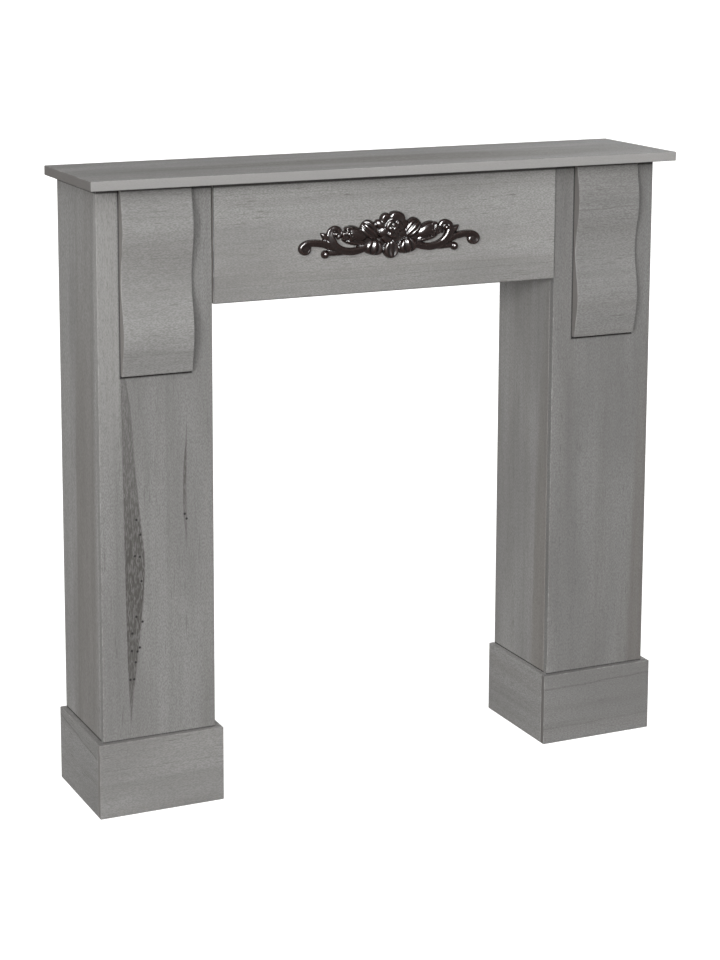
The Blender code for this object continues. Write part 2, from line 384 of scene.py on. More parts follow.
@dataclass(frozen=True)
class StainedTimber:
    """Paulownia boards, planed and sanded, wiped with a thin grey stain and sealed matt.

    The stain evens out the timber's own colour. What still shows is broad bands a little browner than the
    rest, straight fibres, short dark pores, and paler edges where sanding has cut through the stain.
    """

    stain: str = "#9A9997"
    brown_band: str = "#8B8885"
    pale_fibre: str = "#9F9E9C"
    late_wood: str = "#75716D"
    pore: str = "#5E5A57"
    grit: str = "#6E6C6A"
    end_grain: str = "#7A7673"
    rubbed_edge: str = "#B3B2AF"

    # Brown bands, clouds and streaks of stain, patches of rings, clusters of pores and rubbed spots are as
    # long and as wide as on real boards.
    bands: Fibres = Fibres(1100, 42, 0.42, 0.72, 0.5)
    clouds: Fibres = Fibres(320, 70, 0.40, 0.66, 0.32)
    streaks: Fibres = Fibres(520, 15, 0.44, 0.72, 0.20, detail=2.0)
    ring_patches: Fibres = Fibres(260, 40, 0.35, 0.7, detail=2.0)
    pore_clusters: Fibres = Fibres(90, 22, 0.42, 0.68, least=0.15)
    rubbed_spots: Fibres = Fibres(9, 20, 0.46, 0.68, 0.4, detail=4.0)
    # Real fibres are a few hundredths of a millimetre wide, pores about 0.2 mm and grains of stain about
    # 0.1 mm. All are too fine to show, so each is drawn about 1 mm wide, as a bundle of them.
    fibres: Fibres = Fibres(40, 1.6, 0.45, 0.72, 0.40)
    pores: Fibres = Fibres(26, 1.2, 0.58, 0.74, 0.75, detail=1.5)
    grains: Fibres = Fibres(3.6, 0.9, 0.42, 0.60, 0.50, detail=0.0)
    flecks: Fibres = Fibres(9, 1.2, 0.34, 0.58, least=0.40, detail=2.0)

    # Growth rings: their spacing, how much late wood shows at each share of a year, where the pith lies, and
    # half the length of trunk that boards are sawn from.
    ring_spacing: float = 7.5
    season: Line = ((0.5, 0.12), (0.86, 1.0), (0.93, 0.6))
    late_strength: float = 0.20
    pith_depth: Spot = (50.0, 95.0)
    pith_aside: float = 55.0
    trunk_half: float = 5000.0
    # The trunk's bends: how far they reach, and how many there are a metre, along it and across.
    warp: float = 14.0
    warp_scale: Triple = (2.2, 9.0, 9.0)
    warp_detail: float = 1.5

    # How squarely a face meets the grain where it begins to count as a sawn end, and where it fully does.
    end_facing: Spot = (0.6, 0.95)
    end_strength: float = 0.85

    # The roughness between fibres and on them, and how pale a fibre is where it is smoothest.
    roughness: float = 0.68
    fibre_roughness: float = 0.58
    sealed_fibre: float = 0.5
    specular: float = 0.2
    dent_strength: float = 0.5
    dent_depth: float = 0.1

    def _place_in_trunk(self, turn: Matrix, low: Vector, high: Vector, seed: int) -> Vector:
        """Choose where in a trunk a board was sawn, with its thickness pointing at the pith.

        Args:
            turn: The turn that lays the grain along X.
            low: The board's lowest corner.
            high: The board's highest corner.
            seed: The board's own random seed.

        Returns:
            The shift from the board to the trunk, in metres.
        """
        span = turn @ (high - low)
        draw = random.Random(seed)
        depth = draw.uniform(*self.pith_depth) * MM
        aside = draw.uniform(-self.pith_aside, self.pith_aside) * MM
        pith = (depth, aside) if abs(span.y) < abs(span.z) else (aside, depth)
        along = draw.uniform(-self.trunk_half, self.trunk_half) * MM
        return Vector((along, *pith)) - turn @ ((low + high) / 2)

    def _late_wood(self, tree: Tree, lengthwise: Socket) -> Socket:
        """Draw growth rings round the pattern's X axis, bent a little as the trunk was.

        Args:
            tree: The material's node tree.
            lengthwise: The place in the trunk, in metres.

        Returns:
            How much late wood shows, from 0 to its strength.
        """
        spread = add_node(tree, "ShaderNodeMapping", {"Vector": lengthwise, "Scale": self.warp_scale})
        cloud = add_node(tree, "ShaderNodeTexNoise",
                         {"Vector": spread, "Scale": 1.0, "Detail": self.warp_detail}, output="Color")
        bent = add_node(tree, "ShaderNodeVectorMath",
                        {0: cloud, 1: (0.0, self.warp * MM, self.warp * MM), 2: lengthwise},
                        operation="MULTIPLY_ADD")
        radial = add_node(tree, "ShaderNodeVectorMath", {0: bent, 1: (0, 1, 1)}, operation="MULTIPLY")
        radius = add_node(tree, "ShaderNodeVectorMath", {0: radial}, operation="LENGTH", output="Value")
        years = add_node(tree, "ShaderNodeMath", {0: radius, 1: self.ring_spacing * MM},
                         operation="DIVIDE")
        part_of_year = add_node(tree, "ShaderNodeMath", {0: years}, operation="FRACT")
        late = add_node(tree, "ShaderNodeValToRGB", {0: part_of_year})
        elements = late.node.color_ramp.elements
        elements[0].color = elements[1].color = (0, 0, 0, 1)
        for place, shade in self.season:
            elements.new(place).color = (shade, shade, shade, 1)
        for share in (self.ring_patches.mask(tree, lengthwise), self.late_strength):
            late = add_node(tree, "ShaderNodeMath", {0: late, 1: share}, operation="MULTIPLY")
        return late

    def _end_faces(self, tree: Tree, turn: Matrix) -> Socket:
        """Find the sawn ends of a board, which soak up more stain than its faces.

        Args:
            tree: The material's node tree.
            turn: The turn that lays the grain along X.

        Returns:
            A value from 0 on the faces to nearly 1 on the ends.
        """
        normal = add_node(tree, "ShaderNodeTexCoord", output="Normal")
        facing = add_node(tree, "ShaderNodeVectorMath", {0: normal, 1: turn.transposed() @ Vector((1, 0, 0))},
                          operation="DOT_PRODUCT", output="Value")
        square = add_node(tree, "ShaderNodeMath", {0: facing}, operation="ABSOLUTE")
        start, full = self.end_facing
        return add_node(tree, "ShaderNodeMapRange",
                        {"Value": square, "From Min": start, "From Max": full, "To Max": self.end_strength},
                        interpolation_type="SMOOTHSTEP")

    def material(self, name: str, grain: Grain, low: Vector, high: Vector, seed: int, tone: float,
                 marks: tuple[Mark, ...]) -> bpy.types.Material:
        """Make one board's own timber, coat over coat.

        Args:
            name: The material's name.
            grain: The way the board's grain runs.
            low: The board's lowest corner.
            high: The board's highest corner.
            seed: Where in the trunk the board was sawn.
            tone: How much lighter or darker than the rest this board took the stain.
            marks: Veins, holes and lines that this board has, and painted shade at its joints.

        Returns:
            The material.
        """
        made, tree, shader = new_material(name)
        spot = add_node(tree, "ShaderNodeTexCoord", output="Object")
        turn = Euler(grain.value).to_matrix()
        place = self._place_in_trunk(turn, low, high, seed)
        lengthwise = add_node(tree, "ShaderNodeMapping",
                              {"Vector": spot, "Rotation": grain.value, "Location": place})
        pale, open_pores, clusters, flecks, rubbed_spots = (
            pattern.mask(tree, lengthwise)
            for pattern in (self.fibres, self.pores, self.pore_clusters, self.flecks, self.rubbed_spots))
        pores = add_node(tree, "ShaderNodeMath", {0: open_pores, 1: clusters}, operation="MULTIPLY")
        coats = [
            (self.bands.mask(tree, lengthwise), linear(self.brown_band, tone)),
            (self._late_wood(tree, lengthwise), linear(self.late_wood, tone)),
            (pale, linear(self.pale_fibre, tone)),
            (pores, linear(self.pore, tone)),
        ]
        for pattern in (self.clouds, self.streaks, self.grains):
            coats.append((pattern.mask(tree, lengthwise), linear(self.grit, tone)))
        # Some marks are painted shade at joints and painted shadow under the shelf and corbels.
        for mark in marks:
            shade = mark.mask(tree, spot)
            if mark.flecked:
                shade = add_node(tree, "ShaderNodeMath", {0: shade, 1: flecks}, operation="MULTIPLY")
            coats.append((shade, linear(mark.colour, tone)))
        coats.append((self._end_faces(tree, turn), linear(self.end_grain, tone)))
        worn = add_node(tree, "ShaderNodeAttribute", attribute_name=WEAR, output="Fac")
        rubbed = add_node(tree, "ShaderNodeMath", {0: worn, 1: rubbed_spots}, operation="MULTIPLY")
        coats.append((rubbed, linear(self.rubbed_edge)))
        colour = linear(self.stain, tone)
        for share, coat in coats:
            colour = add_node(tree, "ShaderNodeMix", {0: share, 6: colour, 7: coat}, 2, data_type="RGBA")
        tree.links.new(colour, shader.inputs["Base Color"])
        sealed = add_node(tree, "ShaderNodeMapRange",
                          {"Value": pale, "From Max": self.sealed_fibre, "To Min": self.roughness,
                           "To Max": self.fibre_roughness}, interpolation_type="SMOOTHSTEP")
        tree.links.new(sealed, shader.inputs["Roughness"])
        dents = add_node(tree, "ShaderNodeMath", {0: pale, 1: pores}, operation="SUBTRACT")
        bump = add_node(tree, "ShaderNodeBump",
                        {"Height": dents, "Strength": self.dent_strength, "Distance": self.dent_depth * MM})
        tree.links.new(bump, shader.inputs["Normal"])
        shader.inputs["Specular IOR Level"].default_value = self.specular
        return made


@dataclass(frozen=True)
class CastResin:
    """Filled polyurethane resin, cast in a rubber mould and lacquered very dark brown.

    The lacquer is glossy, so the crests shine. The hollows are darkened towards black by painted shade. It
    dried in ripples 5.6 mm wide, which are 180 a metre.
    """

    crest: str = "#291915"
    hollow: str = "#070404"
    pointiness: Spot = (0.46, 0.53)
    ripples: float = 180.0
    ripple_detail: float = 3.0
    ripple_range: Spot = (0.3, 0.7)
    ripple_strength: float = 0.25
    ripple_depth: float = 0.2
    roughness: Spot = (0.18, 0.28)
    specular: float = 0.3
    coat: float = 0.35
    coat_roughness: float = 0.08

    def material(self, name: str) -> bpy.types.Material:
        """Make the resin.

        Args:
            name: The material's name.

        Returns:
            The material.
        """
        made, tree, shader = new_material(name)
        spot = add_node(tree, "ShaderNodeTexCoord", output="Object")
        bent = add_node(tree, "ShaderNodeNewGeometry", output="Pointiness")
        flow = add_node(tree, "ShaderNodeTexNoise",
                        {"Vector": spot, "Scale": self.ripples, "Detail": self.ripple_detail})
        levels = []
        for value, (start, full), (least, most) in (
                (bent, self.pointiness, (0.0, 1.0)), (flow, self.ripple_range, self.roughness)):
            levels.append(add_node(
                tree, "ShaderNodeMapRange", {"Value": value, "From Min": start, "From Max": full,
                                             "To Min": least, "To Max": most},
                interpolation_type="SMOOTHSTEP"))
        # Painted shade: the hollows, found by their pointiness, are darkened towards black.
        colour = add_node(tree, "ShaderNodeMix",
                          {0: levels[0], 6: linear(self.hollow), 7: linear(self.crest)}, 2, data_type="RGBA")
        bump = add_node(tree, "ShaderNodeBump", {"Height": flow, "Strength": self.ripple_strength,
                                                 "Distance": self.ripple_depth * MM})
        for socket, value in (("Base Color", colour), ("Roughness", levels[1]), ("Normal", bump)):
            tree.links.new(value, shader.inputs[socket])
        shader.inputs["Specular IOR Level"].default_value = self.specular
        shader.inputs["Coat Weight"].default_value = self.coat
        shader.inputs["Coat Roughness"].default_value = self.coat_roughness
        return made


def deselect() -> None:
    """Leave object mode with nothing selected."""
    if bpy.context.object and bpy.context.object.mode != "OBJECT":
        bpy.ops.object.mode_set(mode="OBJECT")
    bpy.ops.object.select_all(action="DESELECT")


def settle(piece: bpy.types.Object, name: str, node: str, material: bpy.types.Material) -> None:
    """Give a finished piece its name and finish, and tie it to the frame.

    Args:
        piece: The finished piece, with its place in its mesh.
        name: What the piece is called.
        node: The node that it stands for.
        material: Its finish.
    """
    piece.name = piece.data.name = name
    piece.data.materials.clear()
    piece.data.materials.append(material)
    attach(piece, BODY)
    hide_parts(node)
    LOG.info("%s stands for %s, with %d faces", name, node, len(piece.data.polygons))


@dataclass
class Board:
    """One sawn board, with rounded edges, in its node's place.

    Its tone is how much lighter or darker than the rest it took the stain. Its play is how much short of
    its node it stays at each side in X and Y, and at its top in Z, which leaves the fine dark lines of the
    joints. A rubbed board is paler on its rounded edges.
    """

    node: str
    grain: Grain
    seed: int
    tone: float = 1.0
    marks: tuple[Mark, ...] = ()
    play: Triple = (0.0, 0.0, 0.0)
    rubbed: bool = True
    edge_round: float = 1.2
    edge_segments: int = 3
    flat_within: float = 0.01

    def _saw(self, low: Vector, high: Vector) -> None:
        """Saw the board square, and leave the edges to be rounded selected in edit mode.

        Args:
            low: The board's lowest corner.
            high: The board's highest corner.
        """
        bpy.ops.mesh.primitive_cube_add(size=1.0, location=(low + high) / 2)
        bpy.context.object.scale = high - low
        bpy.ops.object.transform_apply(location=True, rotation=True, scale=True)
        bpy.ops.object.mode_set(mode="EDIT")
        bpy.ops.mesh.select_all(action="SELECT")

    def _on_edge(self, point: Vector, low: Vector, high: Vector) -> bool:
        """Say whether a point lies on a rounded edge, off the flat faces between the corners low and high."""
        nearest = min(min(abs(p - a), abs(p - b)) for p, a, b in zip(point, low, high))
        return nearest >= self.flat_within * MM

    def build(self, timber: StainedTimber) -> None:
        """Saw the board, round its edges and stain it.

        Args:
            timber: The finish.
        """
        low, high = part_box(self.node)
        play = Vector(self.play) * MM
        low, high = low + Vector((play.x, play.y, 0)), high - play
        deselect()
        self._saw(low, high)
        bpy.ops.mesh.bevel(offset=self.edge_round * MM, segments=self.edge_segments, affect="EDGES")
        bpy.ops.object.mode_set(mode="OBJECT")
        bpy.ops.object.shade_smooth()
        bpy.ops.object.modifier_add(type="WEIGHTED_NORMAL")
        board = bpy.context.object
        bpy.ops.object.modifier_apply(modifier=board.modifiers[-1].name)
        wear = board.data.attributes.new(WEAR, "FLOAT", "POINT")
        wear.data.foreach_set("value", [float(self.rubbed and self._on_edge(vert.co, low, high))
                                        for vert in board.data.vertices])
        stain = timber.material(f"{self.node}_stained_timber", self.grain, low, high, self.seed, self.tone,
                                self.marks)
        settle(board, f"{self.node}_board", self.node, stain)


@dataclass
class Corbel(Board):
    """A board with a wave sawn down its face: two crests, and a waist midway."""

    wave_depth: float = 10.5
    wave_length: float = 160.0
    steps: int = 96
    sharp_angle: float = 40.0
    rim_share: float = 0.8

    def _face(self, up: float, low: Vector, high: Vector) -> float:
        """Give the face's place in depth at a height.

        Args:
            up: The height in metres.
            low: The corbel's lowest corner.
            high: The corbel's highest corner.

        Returns:
            The face's Y.
        """
        from_waist = up - (low.z + high.z) / 2
        wave = 0.5 + 0.5 * math.cos(2 * math.pi * from_waist / (self.wave_length * MM))
        return low.y + self.wave_depth * MM * wave

    def _saw(self, low: Vector, high: Vector) -> None:
        """Draw the wavy face as a strip, extrude it back to the column, and select the sharp edges.

        Args:
            low: The corbel's lowest corner.
            high: The corbel's highest corner.
        """
        bpy.ops.mesh.primitive_grid_add(x_subdivisions=1, y_subdivisions=self.steps, size=1.0)
        corbel = bpy.context.object
        corbel.rotation_euler.x = math.pi / 2
        corbel.scale = (high.x - low.x, high.z - low.z, 1)
        corbel.location = (low + high) / 2
        bpy.ops.object.transform_apply(location=True, rotation=True, scale=True)
        for vert in corbel.data.vertices:
            vert.co.y = self._face(vert.co.z, low, high)
        bpy.ops.object.mode_set(mode="EDIT")
        bpy.ops.mesh.select_all(action="SELECT")
        bpy.ops.mesh.extrude_region_move(TRANSFORM_OT_translate={"value": (0, high.y - low.y, 0)})
        bpy.ops.transform.resize(value=(1, 0, 1), center_override=(0, high.y, 0))
        bpy.ops.mesh.select_all(action="SELECT")
        bpy.ops.mesh.normals_make_consistent(inside=False)
        bpy.ops.mesh.select_all(action="DESELECT")
        bpy.ops.mesh.edges_select_sharp(sharpness=math.radians(self.sharp_angle))

    def _on_edge(self, point: Vector, low: Vector, high: Vector) -> bool:
        """Say whether a point lies on a rounded edge of the wavy face.

        Args:
            point: A point of the corbel.
            low: The corbel's lowest corner.
            high: The corbel's highest corner.

        Returns:
            Whether it does.
        """
        rim = self.rim_share * self.edge_round * MM
        near_side = min(point.x - low.x, high.x - point.x) < rim
        near_end = min(point.z - low.z, high.z - point.z) < rim
        return point.y - self._face(point.z, low, high) < rim and (near_side or near_end)


def raised(spot: Vector | Spot, lift: float) -> Vector:
    """Turn a place across and up in the ornament's pattern, and its height off the board, into a point."""
    return Vector((spot[0], -lift, spot[1]))


@dataclass(frozen=True)
class Leaf:
    """A leaf or a petal, stretched from root to tip: places across and up in the pattern.

    Its lean makes it wider towards the tip, its point draws the tip in, its hollow sinks its middle, and
    its ribs get deeper towards the tip. The powers say how full its cross-section is, domed or cupped, and
    its sink is how far its back goes into the board.
    """

    root: Spot
    tip: Spot
    width: float
    rise: float
    ribs: int = 0
    lean: float = 0.0
    point: float = 0.0
    hollow: float = 0.0
    rib_depth: float = 0.34
    rib_at_root: float = 0.4
    dome_power: float = 2.6
    cup_power: float = 7.0
    sink: float = 3.0
    segments: int = 64

    def _lift(self, across: float, along: float, edge: float) -> float:
        """Give the height of the face off the board.

        Args:
            across: The place from side to side, from -1 to 1.
            along: The place from root to tip, from 0 to 1.
            edge: The place from the middle to the rim, from 0 to 1.

        Returns:
            The height.
        """
        power = self.cup_power if self.hollow else self.dome_power
        dome = math.sqrt(max(0.0, 1 - edge ** power)) * (1 - self.hollow * (1 - edge ** 2))
        if not self.ribs:
            return self.rise * dome
        crest = abs(math.cos(math.pi / 2 * (across * self.ribs + (self.ribs + 1) % 2)))
        deepening = self.rib_at_root + (1 - self.rib_at_root) * along
        return self.rise * dome * (1 - self.rib_depth * (1 - crest) * deepening)

    def build(self, mirror: int = 1) -> bpy.types.Object:
        """Stretch a sphere into the leaf.

        Args:
            mirror: 1 for the right half of the pattern, -1 for the left.

        Returns:
            The leaf, as a loose part of the ornament.
        """
        root, tip = (Vector((mirror * end[0], end[1])) for end in (self.root, self.tip))
        along_way = tip - root
        across_way = Vector((-along_way.y, along_way.x)).normalized()
        bpy.ops.mesh.primitive_uv_sphere_add(segments=self.segments, ring_count=self.segments // 2)
        leaf = bpy.context.object
        for vert in leaf.data.vertices:
            ring = math.sqrt(max(0.0, 1 - vert.co.z ** 2))
            along = 0.5 + 0.5 * vert.co.z
            across = vert.co.x / ring if ring > 0 else 0.0
            half = self.width / 2 * (1 + self.lean * vert.co.z) * (1 - self.point * along ** 3)
            spot = root + along_way * along + across_way * vert.co.x * half
            lift = -self.sink
            if vert.co.y > 0:
                lift = self._lift(across, along, math.sqrt(max(0.0, 1 - vert.co.y ** 2)))
            vert.co = raised(spot, lift)
        return leaf


@dataclass(frozen=True)
class Ball:
    """A ball flattened to its rise."""

    centre: Spot
    radius: float
    rise: float
    segments: int = 48

    def build(self, mirror: int = 1) -> bpy.types.Object:
        """Add the ball.

        Args:
            mirror: 1 for the right half of the pattern, -1 for the left.

        Returns:
            The ball, as a loose part of the ornament.
        """
        bpy.ops.mesh.primitive_uv_sphere_add(segments=self.segments, ring_count=self.segments // 2,
                                             location=raised((mirror * self.centre[0], self.centre[1]), 0.0))
        ball = bpy.context.object
        ball.scale = (self.radius, self.rise, self.radius)
        bpy.ops.object.transform_apply(location=True, rotation=True, scale=True)
        return ball


@dataclass(frozen=True)
class Stem:
    """A tapered round stem along a smooth path, with its radius at each point.

    Its middle line is lifted off the board by its lift and by a share of its radius.
    """

    path: tuple[tuple[Spot, float], ...]
    lift: float = 1.0
    lift_share: float = 0.0
    steps: int = 12
    roundness: int = 6

    def rim(self, aside: float, thick: float = 0.38, lift_share: float = 0.62) -> "Stem":
        """Give a raised rim that runs along this stem.

        Args:
            aside: How far to its left it lies, as a share of the stem's radius.
            thick: The rim's radius, as a share of the stem's.
            lift_share: How high it lies, as a share of the stem's radius.

        Returns:
            The rim, as a thinner stem.
        """
        spots = [Vector(spot) for spot, _ in self.path]
        ways = [(after - before).normalized()
                for before, after in zip([spots[0]] + spots, spots[1:] + [spots[-1]])]
        rims = []
        for spot, way_in, way_out, (_, radius) in zip(spots, ways, ways[1:] + ways[-1:], self.path):
            way = (way_in + way_out).normalized()
            place = spot + Vector((-way.y, way.x)) * aside * radius
            rims.append((tuple(place), radius * thick))
        return Stem(tuple(rims), self.lift, lift_share / thick)

    def build(self, mirror: int = 1) -> bpy.types.Object:
        """Draw the stem as a curve and turn it into a mesh.

        Args:
            mirror: 1 for the right half of the pattern, -1 for the left.

        Returns:
            The stem, as a loose part of the ornament.
        """
        bpy.ops.curve.primitive_bezier_curve_add()
        curve = bpy.context.object.data
        curve.bevel_depth = 1.0
        curve.bevel_resolution = self.roundness
        curve.resolution_u = self.steps
        curve.use_fill_caps = True
        spline = curve.splines[0]
        spline.bezier_points.add(len(self.path) - len(spline.bezier_points))
        for knot, ((across, up), radius) in zip(spline.bezier_points, self.path):
            knot.co = raised((mirror * across, up), self.lift + self.lift_share * radius)
            knot.radius = radius
            knot.handle_left_type = knot.handle_right_type = "AUTO"
        bpy.ops.object.convert(target="MESH")
        return bpy.context.object


@dataclass(frozen=True)
class Ring:
    """A ring of petals: how many, the first one's angle, and each petal's reach, width and rise."""

    count: int
    first: float
    inner: float
    outer: float
    width: float
    rise: float


@dataclass(frozen=True)
class Flower:
    """A rose or a bud: full outer petals, then rings of cupped petals round a small heart, each ring higher.

    The heart is a ball's radius and rise.
    """

    centre: Spot
    rings: tuple[Ring, ...]
    heart: Spot
    petals: tuple[Leaf, ...] = ()
    hollow: float = 0.42
    lean: float = 0.3

    def build(self, mirror: int = 1) -> list[bpy.types.Object]:
        """Add every petal and the heart.

        Args:
            mirror: 1 for the right half of the pattern, -1 for the left.

        Returns:
            The loose parts of the flower.
        """
        parts = [petal.build(mirror) for petal in self.petals]
        for ring in self.rings:
            for step in range(ring.count):
                turn = math.radians(ring.first + 360 * step / ring.count)
                way = Vector((math.cos(turn), math.sin(turn)))
                root, tip = (tuple(Vector(self.centre) + way * reach) for reach in (ring.inner, ring.outer))
                petal = Leaf(root, tip, ring.width, ring.rise, lean=self.lean, hollow=self.hollow)
                parts.append(petal.build(mirror))
        parts.append(Ball(self.centre, *self.heart).build(mirror))
        return parts


@dataclass(frozen=True)
class RoseOrnament:
    """The moulded ornament on the frieze: a rose, leaves, buds and scrolls, mirrored about the middle.

    Its pattern is drawn about the rose and then fitted to its node by its width and its foot. Its grain is
    the size of the finest relief that the mould holds.
    """

    node: str = "frieze_ornament"
    pattern_width: float = 317.6
    pattern_foot: float = -37.5
    grain: float = 0.7
    smoothing: int = 4
    crease_angle: float = 60.0
    rose: Flower = Flower(
        (2, 11), (Ring(3, 140.0, 2.5, 15.5, 19.0, 15.0), Ring(3, 80.0, 0.0, 9.5, 12.0, 17.0)), (3.2, 17.6),
        petals=(
            Leaf((-2, 10), (-13, 35.4), 19, 11.0, lean=0.35, hollow=0.25),
            Leaf((6, 10), (12, 38.0), 28, 12.5, lean=0.3, hollow=0.22),
            Leaf((8, 10), (30, 20), 16, 11.0, lean=0.3),
            Leaf((-4, 9), (-28, 23), 14, 9.5, lean=0.3),
            Leaf((0, 8), (-24, 5), 19, 10.5, lean=0.3),
            Leaf((6, 8), (28, -1), 18, 10.5, lean=0.3),
            Leaf((0, 8), (-13, -10), 19, 10.5, lean=0.3, hollow=0.2),
            Leaf((5, 8), (13, -10), 19, 10.5, lean=0.3, hollow=0.2),
        ), hollow=0.12)
    rose_bed: Ball = Ball((0, 0), 22.0, 5.0)
    pendant: Leaf = Leaf((0, -8), (0, -37.5), 28, 10.5, 3, 0.10, 0.15, hollow=0.25, rib_depth=0.3)
    bud: Flower = Flower((75, 6), (Ring(3, 100.0, 1.0, 12.0, 14.0, 12.6), Ring(2, 40.0, 0.0, 7.5, 9.5, 14.8)),
                         (2.4, 15.6), hollow=0.2)
    leaves: tuple[Leaf, ...] = (
        Leaf((27, -5), (32, -30.5), 36, 11.0, 3, 0.25, rib_depth=0.5),
        Leaf((22, -4), (50, 22), 27, 12.5, 3, 0.30, rib_depth=0.42),
        Leaf((42, -3), (80, 14), 23, 12.5, 0, 0.15, 0.1),
        Leaf((42, -11), (85, -1.5), 14, 9.5, 2, 0.20, 0.1, rib_depth=0.4),
        Leaf((103, -4), (121.5, 9.8), 13, 7.0, 1, -0.10, 0.6),
        Leaf((32, -12), (64, -21), 13, 8.0, 1, 0.0, 0.5),
    )
    balls: tuple[Ball, ...] = (
        Ball((147, -13.2), 11.0, 5.5),
        Ball((113, -24.5), 6.8, 9.5),
        Ball((96.5, 7.0), 5.2, 10.5),
        Ball((42, -6), 19.0, 5.5),
    )
    c_scroll: Stem = Stem((
        ((96, 15.5), 4.0), ((103, 13), 4.8), ((105, 5), 6.2), ((102, -4), 7.2), ((96, -12), 6.9),
        ((87, -18), 6.4), ((76, -21.3), 6.2), ((62, -21.7), 6.0), ((48, -18), 6.0), ((34, -12), 5.5)))
    volute: Stem = Stem((((103.5, 13), 4.6), ((96, 15.5), 5.0), ((88.8, 11.5), 5.0), ((88.2, 4.0), 4.4),
                         ((93.5, 0.2), 3.6)))
    outer_arm: Stem = Stem((
        ((86, -22), 4.0), ((99, -16), 5.4), ((111, -9.5), 6.2), ((123, -6.5), 6.2), ((136, -5.5), 6.0),
        ((147, -6.7), 5.4), ((153.6, -13.2), 5.2), ((147.5, -19.4), 4.8), ((141.5, -15.5), 4.0),
        ((144, -11.8), 3.0)))
    lower_arm: Stem = Stem((((66, -22), 4.0), ((84, -22.6), 5.0), ((98, -22.3), 5.4), ((110, -22.5), 4.8)))

    def _parts(self) -> list[bpy.types.Object]:
        """Model every motif, in the pattern's own millimetres about its middle.

        Returns:
            The loose parts of the ornament.
        """
        parts = [*self.rose.build(), self.rose_bed.build(), self.pendant.build()]
        stems = (self.c_scroll, self.c_scroll.rim(aside=-0.42, thick=0.55, lift_share=0.55),
                 self.c_scroll.rim(aside=0.66, thick=0.3), self.volute,
                 self.outer_arm, self.outer_arm.rim(aside=0.4, thick=0.5), self.lower_arm)
        for mirror in (-1, 1):
            parts += [motif.build(mirror) for motif in (*self.leaves, *self.balls, *stems)]
            parts += self.bud.build(mirror)
        return parts

    def build(self, resin: CastResin) -> None:
        """Run the motifs together as one casting, flat at the back, and lacquer it.

        Args:
            resin: The finish.
        """
        low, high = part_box(self.node)
        deselect()
        parts = self._parts()
        deselect()
        for part in parts:
            part.select_set(True)
        casting = parts[0]
        bpy.context.view_layer.objects.active = casting
        bpy.ops.object.join()
        scale = (high.x - low.x) / self.pattern_width
        middle = Vector(((low.x + high.x) / 2, high.y, low.z - self.pattern_foot * scale))
        casting.data.transform(Matrix.Translation(middle) @ Matrix.Scale(scale, 4))
        remesh = casting.modifiers.new("one_casting", "REMESH")
        remesh.mode = "VOXEL"
        remesh.voxel_size = self.grain * scale
        smooth = casting.modifiers.new("soft_lacquer", "SMOOTH")
        smooth.iterations = self.smoothing
        for modifier in (remesh.name, smooth.name):
            bpy.ops.object.modifier_apply(modifier=modifier)
        bpy.ops.object.mode_set(mode="EDIT")
        bpy.ops.mesh.select_all(action="SELECT")
        bpy.ops.mesh.bisect(plane_co=(0, high.y, 0), plane_no=(0, 1, 0), use_fill=True, clear_outer=True)
        bpy.ops.object.mode_set(mode="OBJECT")
        bpy.ops.object.shade_smooth_by_angle(angle=math.radians(self.crease_angle))
        settle(casting, f"{self.node}_casting", self.node, resin.material("lacquered_cast_resin"))


# Painted shadow under the shelf, on the boards below it.
SHADOW_UNDER_SHELF = PaintedJointShade(-BEYOND, BEYOND, 977.5, 1000, width=2.5)


@dataclass
class Shelf:
    """The shelf board on top, with a brown band along its middle and a paler front edge."""

    node: str = "mantel_shelf"
    seed: int = 3
    tone: float = 0.77
    marks: tuple[Mark, ...] = (
        MineralStreak(
            left=((-505, -57), (-100, -62), (200, -85), (505, -75)),
            right=((-505, -7), (-100, 38), (200, 33), (505, -17)),
            strength=((-505, 0.05), (-300, 0.45), (150, 0.7), (300, 0.4), (505, 0.0)),
            left_blur=35.0, right_blur=35.0, across="Y", along="X", colour="#5F5953"),
        MineralStreak(
            left=((-BEYOND, -130), (BEYOND, -130)), right=((-BEYOND, -112.1), (BEYOND, -112.1)),
            strength=((-BEYOND, 0.75), (BEYOND, 0.75)), right_blur=0.8, across="Y", along="X", flecked=False,
            colour="#B4B2B0"),
    )

    def build(self, timber: StainedTimber) -> None:
        """Make the shelf with this finish."""
        Board(self.node, Grain.ALONG_X, self.seed, self.tone, self.marks).build(timber)


@dataclass
class Frieze:
    """The board across the top of the opening, and the ornament on it.

    Shade is painted under the shelf, at both columns and along the board's foot. Three lines of late wood
    cross it, and painted shade darkens it towards its foot.
    """

    node: str = "frieze_board"
    seed: int = 11
    tone: float = 1.035
    play: Triple = (0.6, 0.0, JOINT_PLAY)
    marks: tuple[Mark, ...] = (
        SHADOW_UNDER_SHELF,
        # Painted shade at the joints with both columns and along the board's foot.
        PaintedJointShade(-400, -298.6, 700, 1000, strength=1.0),
        PaintedJointShade(298.6, 400, 700, 1000, strength=0.9),
        PaintedJointShade(-BEYOND, BEYOND, 700, 797.8, width=1.4, strength=0.6),
        GrainLineAndShadeBand(819, 8, "X", -180, wander=5.0, width=1.3, strength=0.35),
        GrainLineAndShadeBand(834, -6, "X", -120, wander=7.0, width=1.1, strength=0.25),
        GrainLineAndShadeBand(957, -10, "X", 180, wander=5.0, width=1.2, strength=0.25),
        # A broad band of painted shade that darkens the board towards its foot.
        GrainLineAndShadeBand(796, 0, "X", 0, wander=8.0, width=60.0, strength=0.2, flecked=False),
    )
    ornament: RoseOrnament = RoseOrnament()

    def build(self, timber: StainedTimber, resin: CastResin) -> None:
        """Make the board with the first finish and its ornament with the second."""
        Board(self.node, Grain.ALONG_X, self.seed, self.tone, self.marks, self.play).build(timber)
        self.ornament.build(resin)


